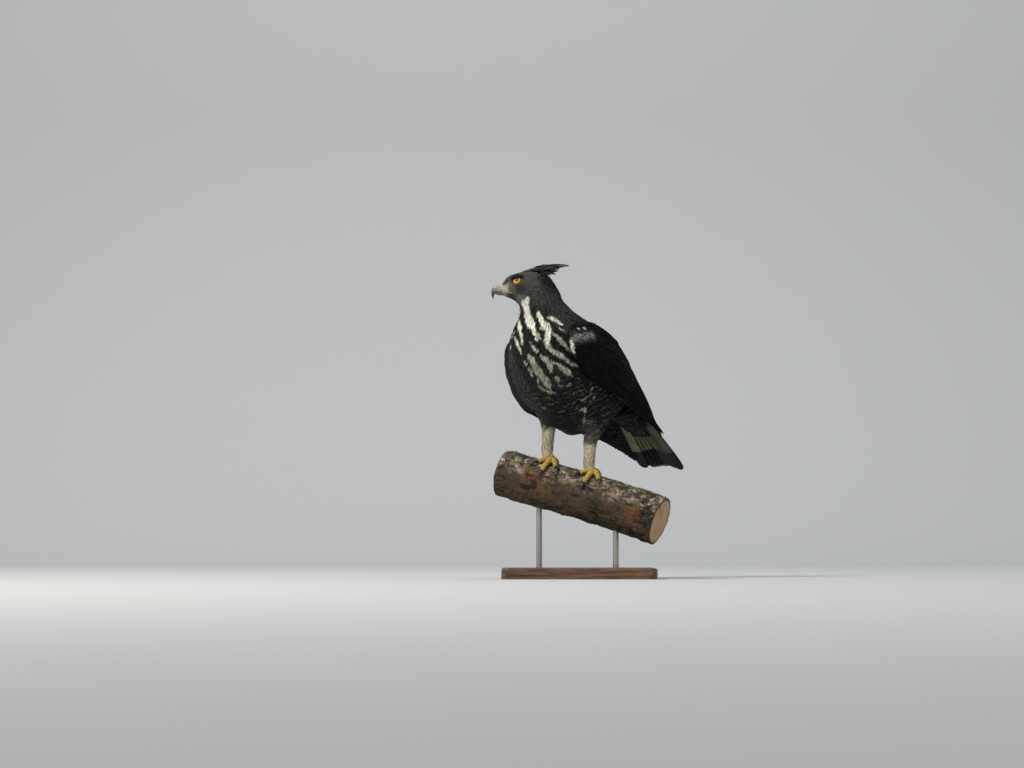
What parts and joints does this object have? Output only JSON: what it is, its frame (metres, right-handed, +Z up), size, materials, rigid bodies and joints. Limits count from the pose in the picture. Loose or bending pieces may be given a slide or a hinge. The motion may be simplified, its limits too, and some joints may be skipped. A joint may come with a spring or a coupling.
{
  "type": "perched blyth's hawk-eagle model",
  "caption": "Still, life-size crested hawk-eagle gripping a short cut branch, held above a flat wooden base by upright rods.",
  "frame": {"origin": "centre of the underside of the stand's base", "axes": "+Z up, -Y towards the side the picture was taken from, +X to the right in that view; the bird's bill points to -X and its breast to -X and -Y"},
  "size_m": [0.3282, 0.2805, 0.5322],
  "materials": {
    "plumage_black": "brownish black feathers with a faint bluish sheen",
    "plumage_head": "charcoal black short feathers",
    "plumage_breast": "cream white feathers with bold black drop streaks",
    "plumage_barred": "black feathers with fine pale bars",
    "plumage_pale": "cream feathering finely barred brown",
    "toe_skin": "yellow scaled skin",
    "eye_amber": "clear amber iris with a black pupil",
    "bill_horn": "dark slate horn with a grey yellow cere",
    "claw_horn": "black horn",
    "bark": "rough bark with moss and lichen",
    "stand_wood": "dark oiled wood",
    "stand_metal": "brushed metal"
  },
  "bodies": {
    "root": {"head": "plumage_head", "eye_left": "eye_amber", "eye_right": "eye_amber", "bill_upper": "bill_horn", "bill_lower": "bill_horn", "crest": "plumage_black", "neck": "plumage_breast", "torso": "plumage_breast", "wing_left": "plumage_black", "wing_right": "plumage_black", "tail": "plumage_black", "thigh_left": "plumage_barred", "thigh_right": "plumage_barred", "tarsus_left": "plumage_pale", "tarsus_right": "plumage_pale", "foot_left": "toe_skin", "foot_right": "toe_skin", "claw_left_1": "claw_horn", "claw_left_2": "claw_horn", "claw_left_3": "claw_horn", "claw_left_4": "claw_horn", "claw_right_1": "claw_horn", "claw_right_2": "claw_horn", "claw_right_3": "claw_horn", "claw_right_4": "claw_horn", "perch_branch": "bark", "stand_rod_1": "stand_metal", "stand_rod_2": "stand_metal", "stand_base": "stand_wood"}
  },
  "joints": []
}
